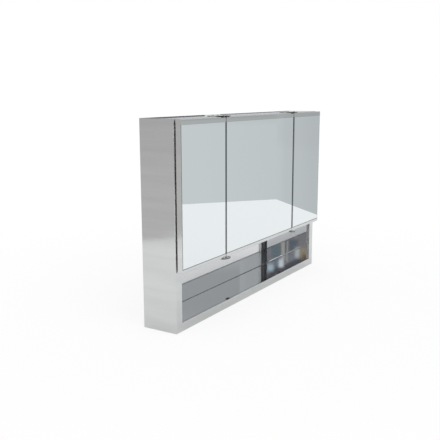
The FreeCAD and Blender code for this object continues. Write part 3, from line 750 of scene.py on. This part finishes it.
# The lower edge of a dark cloth above them, from left to right
CLOTH_EDGE = ((2.5, 1.26), (2.6, 1.215), (2.66, 1.17), (2.68, 1.145), (2.725, 1.16), (2.82, 1.1),
              (2.92, 1.045), (3.1, 0.97))
CLOTH_TOP = 1.43
CLOTH_COLOUR = "6E6E74"
# Low strips at this distance behind the cabinet, which darken the rear of its top: name, both ends in x,
# height, colour
STRIP_GAP = 10 * MM
STRIPS = (
    ("dark_strip", -0.53, -0.13, 5.5 * MM, "58585E"),
    ("grey_strip", -0.03, 0.53, 4.5 * MM, "7E7E84"),
)


def floor_finish():
    """Matt white board. The camera sees it lightened towards white, and as plain white where no shadow
    falls."""
    studio = bpy.context.scene.cabinet_studio
    material, tree, output = new_material("matt_white_board")
    place = add(tree, PLACE).outputs["Object"]
    fibre = add(tree, NOISE, {"Vector": place, "Scale": 1 / (3 * MM), "Detail": 3.0}).outputs[0]
    board = add(tree, "ShaderNodeBsdfDiffuse", {"Color": tinted(tree, fibre, studio.floor, 0.985, 1.0)})
    light = add(tree, "ShaderNodeEmission", {"Color": (1, 1, 1), "Strength": 1.0})
    far = add(tree, VECTOR_MATHS, {0: place}, operation="LENGTH").outputs["Value"]
    fade = add(tree, MAP, {"Value": far, "From Min": SHADOW_REACH * 0.5, "From Max": SHADOW_REACH,
                           "To Min": studio.floor_light}).outputs[0]
    path = add(tree, "ShaderNodeLightPath")
    seen = add(tree, MATHS, {0: path.outputs["Is Camera Ray"], 1: fade}, operation="MULTIPLY")
    both = add(tree, "ShaderNodeMixShader", {0: seen.outputs[0], 1: board.outputs[0], 2: light.outputs[0]})
    tree.links.new(both.outputs[0], output.inputs[0])
    return material


def glow(name, rgb):
    """A card that shows its plain colour whatever the lamps do."""
    material, tree, output = new_material(name)
    light = add(tree, "ShaderNodeEmission", {"Color": rgb, "Strength": 1.0})
    tree.links.new(light.outputs[0], output.inputs[0])
    return material


def soft_glow(name, rgb, level, soft):
    """A card that fades out at its edges, as things do that are out of focus."""
    material, tree, output = new_material(name)
    axes = add(tree, AXES, {0: add(tree, PLACE).outputs["Generated"]})
    wide, tall = (between(tree, axes.outputs[axis], soft / 2, 1 - soft / 2, soft) for axis in ("X", "Z"))
    mask = add(tree, MATHS, {0: wide, 1: tall}, operation="MULTIPLY").outputs[0]
    light = add(tree, "ShaderNodeEmission", {"Color": rgb, "Strength": level})
    clear = add(tree, "ShaderNodeBsdfTransparent")
    both = add(tree, "ShaderNodeMixShader", {0: mask, 1: clear.outputs[0], 2: light.outputs[0]})
    tree.links.new(both.outputs[0], output.inputs[0])
    return material


def lit_wall(name, rgb, ends, along, upward):
    """A painted wall that is lit unevenly along its length and height."""
    material, tree, output = new_material(name)
    start, end = (Vector(room_point(u, v, 0)) for u, v in ends)
    place = add(tree, PLACE).outputs["Object"]
    offset = add(tree, VECTOR_MATHS, {0: place, 1: start}, operation="SUBTRACT").outputs[0]
    distance = add(tree, VECTOR_MATHS, {0: offset, 1: (end - start).normalized()},
                   operation="DOT_PRODUCT").outputs["Value"]
    height = add(tree, AXES, {0: place}).outputs["Z"]
    shares = []
    for value, steps in ((distance, along), (height, upward)):
        reach = steps[-1][0]
        part = add(tree, MATHS, {0: value, 1: reach}, operation="DIVIDE").outputs[0]
        ramp = add(tree, "ShaderNodeValToRGB", {0: part})
        elements = ramp.color_ramp.elements
        elements.remove(elements[1])
        for index, (spot, level) in enumerate(steps):
            element = elements[0] if index == 0 else elements.new(spot / reach)
            element.color = (level, level, level, 1)
        shares.append(ramp.outputs[0])
    level = add(tree, MATHS, {0: shares[0], 1: shares[1]}, operation="MULTIPLY").outputs[0]
    light = add(tree, "ShaderNodeEmission", {"Color": rgb, "Strength": level})
    tree.links.new(light.outputs[0], output.inputs[0])
    return material


def flat_piece(name, corners, material):
    """A stage piece of one face."""
    mesh = bpy.data.meshes.new(name)
    mesh.from_pydata([Vector(corner) for corner in corners], [], [range(len(corners))])
    piece = bpy.data.objects.new(name, mesh)
    bpy.context.scene.collection.objects.link(piece)
    mesh.materials.append(material)
    return piece


def mirrored_card(name, corners, material):
    """A stage piece that shows in steel and glass alone, so that it hides nothing and casts no shadow."""
    card = flat_piece(name, corners, material)
    card.visible_camera = False
    card.visible_diffuse = False
    card.visible_shadow = False


def room_point(u, v, z):
    """A point from its place along the room's length and width, and its height."""
    along = Vector((math.cos(ROOM_TURN), math.sin(ROOM_TURN)))
    across = Vector((-along.y, along.x)) * -1
    place = ROOM_CORNER + along * u + across * v
    return (place.x, place.y, z)


def wall_card(name, ends, low, high, material):
    """An upright card between two places in the room."""
    (u0, v0), (u1, v1) = ends
    mirrored_card(name, [room_point(u0, v0, low), room_point(u1, v1, low),
                         room_point(u1, v1, high), room_point(u0, v0, high)], material)


class CABINET_OT_studio(bpy.types.Operator):
    """Make the floor, the mirrored walls, the lamps and the camera"""
    bl_idname = "cabinet.studio"
    bl_label = "Studio"

    def execute(self, context):
        studio = context.scene.cabinet_studio
        flat_piece("floor", [(x * FLOOR_REACH, y * FLOOR_REACH, -FLOOR_DROP)
                             for x, y in ((-1, -1), (1, -1), (1, 1), (-1, 1))], floor_finish())
        top = studio.wall_height
        inset = RIGHT_WALL_INSET
        walls = (
            ("right", ((inset, 0), (inset, ROOM_WIDTH)), studio.right_wall, RIGHT_ALONG, RIGHT_UP),
            ("front", ((0, 0), (ROOM_LENGTH, 0)), studio.front_wall, FRONT_ALONG, FRONT_UP),
            ("back", ((0, ROOM_WIDTH), (ROOM_LENGTH, ROOM_WIDTH)), studio.back_wall, EVEN, BACK_UP),
            ("left", ((ROOM_LENGTH, 0), (ROOM_LENGTH, ROOM_WIDTH)), studio.left_wall, EVEN, EVEN),
        )
        for name, ends, rgb, along, upward in walls:
            wall_card(f"wall_{name}", ends, 0, top, lit_wall(f"{name}_wall", rgb, ends, along, upward))
        room = ((0, 0), (ROOM_LENGTH, 0), (ROOM_LENGTH, ROOM_WIDTH), (0, ROOM_WIDTH))
        mirrored_card("ceiling", [room_point(u, v, top) for u, v in room],
                      glow("ceiling", studio.ceiling))
        for order, (name, v0, v1, z0, z1, code, level, soft) in enumerate(SCREENS):
            u = ROOM_LENGTH - SCREEN_INSET - SCREEN_STEP * order
            wall_card(name, ((u, v0), (u, v1)), z0, z1, soft_glow(name, linear(code), level, soft))
        top_corners = ((CLOTH_EDGE[-1][0], CLOTH_TOP), (CLOTH_EDGE[0][0], CLOTH_TOP))
        mirrored_card("dark_cloth", [room_point(ROOM_LENGTH - CLOTH_INSET, v, z)
                                     for v, z in (*CLOTH_EDGE, *top_corners)],
                      glow("dark_cloth", linear(CLOTH_COLOUR)))
        behind_y, top_z = CAD_BOX[1][1] + STRIP_GAP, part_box("top_panel")[1][2]
        for name, x0, x1, height, code in STRIPS:
            corners = ((x0, 0), (x1, 0), (x1, height), (x0, height))
            mirrored_card(name, [(x, behind_y, top_z + z) for x, z in corners],
                          glow(name, linear(code)))
        self.world(context)
        self.lamps(context)
        self.camera(context)
        return {"FINISHED"}

    def world(self, context):
        """Even light from all sides, which the camera sees as plain white."""
        studio = context.scene.cabinet_studio
        world = bpy.data.worlds.new("studio_light")
        context.scene.world = world
        world.use_nodes = True
        tree = world.node_tree
        tree.nodes.clear()
        path = add(tree, "ShaderNodeLightPath").outputs["Is Camera Ray"]
        level = add(tree, MAP, {"Value": path, "To Min": studio.ambient, "To Max": 1.0}).outputs[0]
        light = add(tree, "ShaderNodeBackground", {"Color": (1, 1, 1), "Strength": level})
        output = add(tree, "ShaderNodeOutputWorld")
        tree.links.new(light.outputs[0], output.inputs[0])

    def lamps(self, context):
        """One broad lamp, which steel and glass don't mirror."""
        studio = context.scene.cabinet_studio
        data = bpy.data.lights.new("soft_lamp", "SUN")
        data.energy = studio.sun
        data.angle = studio.sun_angle
        lamp = bpy.data.objects.new("soft_lamp", data)
        lamp.rotation_euler = LAMP_FROM.to_track_quat("Z", "Y").to_euler()
        lamp.visible_glossy = False
        context.scene.collection.objects.link(lamp)

    def camera(self, context):
        """The camera of the photograph, and how the scene is seen through it."""
        level = math.cos(CAMERA_PITCH)
        ahead = Vector((math.sin(CAMERA_YAW) * level, math.cos(CAMERA_YAW) * level, -math.sin(CAMERA_PITCH)))
        right = Vector((math.cos(CAMERA_YAW), -math.sin(CAMERA_YAW), 0))
        up = right.cross(ahead)
        turn = Matrix.Rotation(CAMERA_ROLL, 3, "Z")
        axes = Matrix((right, up, -ahead)).transposed() @ turn.transposed()
        data = bpy.data.cameras.new("camera")
        data.lens = CAMERA_LENS
        camera = bpy.data.objects.new("camera", data)
        camera.matrix_world = Matrix.Translation(CAMERA_PLACE) @ axes.to_4x4()
        context.scene.collection.objects.link(camera)
        context.scene.camera = camera
        context.scene.view_settings.view_transform = "Standard"
        # The polished corner and the narrow gaps mirror each other more often than Blender follows at first
        context.scene.cycles.glossy_bounces = MIRROR_BOUNCES


OPERATORS = (
    CABINET_OT_side_panels, CABINET_OT_top_and_bottom, CABINET_OT_back_panel, CABINET_OT_compartment,
    CABINET_OT_niche_lining, CABINET_OT_lining_fold, CABINET_OT_shelves, CABINET_OT_hinge_plates,
    CABINET_OT_catches, CABINET_OT_door_shells, CABINET_OT_mirrors, CABINET_OT_door_fittings,
    CABINET_OT_studio,
)


class CABINET_PT_finishes(bpy.types.Panel):
    """Lists the pieces of the cabinet and the settings of their finishes"""
    bl_idname = "CABINET_PT_finishes"
    bl_label = "Mirror cabinet"
    bl_space_type = "VIEW_3D"
    bl_region_type = "UI"
    bl_category = "Cabinet"

    def draw(self, context):
        for name in SETTINGS:
            settings = getattr(context.scene, name)
            column = self.layout.column(heading=settings.bl_rna.name)
            for key in settings.bl_rna.properties.keys():
                if key not in {"rna_type", "name"}:
                    column.prop(settings, key)
        for operator in OPERATORS:
            self.layout.operator(operator.bl_idname)


SETTINGS = {
    "cabinet_steel": SteelFinish,
    "cabinet_glass": GlassFinish,
    "cabinet_parts": SmallPartsFinish,
    "cabinet_studio": StudioSettings,
}
CLASSES = (*SETTINGS.values(), *OPERATORS, CABINET_PT_finishes)


def register():
    """Add the classes and their settings to Blender."""
    for cls in CLASSES:
        bpy.utils.register_class(cls)
    for name, group in SETTINGS.items():
        setattr(bpy.types.Scene, name, PointerProperty(type=group))


def unregister():
    """Take the settings and the classes out again."""
    for name in SETTINGS:
        delattr(bpy.types.Scene, name)
    for cls in reversed(CLASSES):
        bpy.utils.unregister_class(cls)


def main():
    """Finish every piece and set up the studio."""
    register()
    for operator in OPERATORS:
        group, name = operator.bl_idname.split(".")
        getattr(getattr(bpy.ops, group), name)()


if __name__ == "__main__":
    main()
